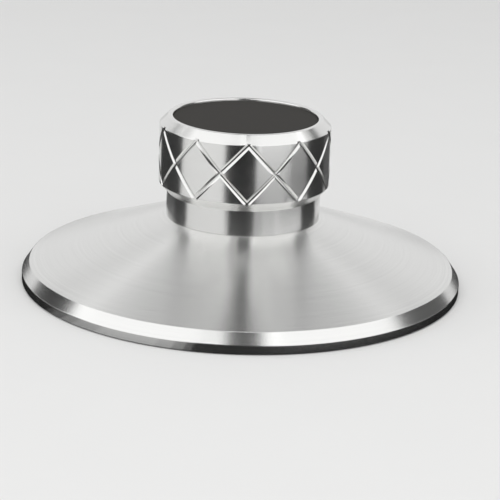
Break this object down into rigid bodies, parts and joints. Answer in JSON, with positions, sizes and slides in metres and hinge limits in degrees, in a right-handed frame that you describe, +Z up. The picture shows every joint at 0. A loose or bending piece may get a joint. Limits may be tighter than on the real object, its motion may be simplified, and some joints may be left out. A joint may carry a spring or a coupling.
{
  "type": "record weight clamp",
  "caption": "Turned aluminium record weight: a conical disc on a thin pad with a blind spindle bore, and a cross-grooved grip knob with a black inlay.",
  "frame": {"origin": "on the turning axis, in the plane of the record label that the pad rests on", "axes": "+Z up along the turning axis and out of the spindle bore's closed end; -Y is the front, where two grooves of the grip cross"},
  "size_m": [0.082, 0.082, 0.0318],
  "materials": {
    "disc_aluminium": "satin",
    "knob_aluminium": "satin",
    "inlay_black": "matte",
    "pad_black": "matte",
    "screw_steel": "satin"
  },
  "bodies": {
    "root": {"base_disc": "disc_aluminium", "grip_knob": "knob_aluminium", "top_inlay": "inlay_black", "label_pad": "pad_black", "knob_screw": "screw_steel"}
  },
  "joints": []
}
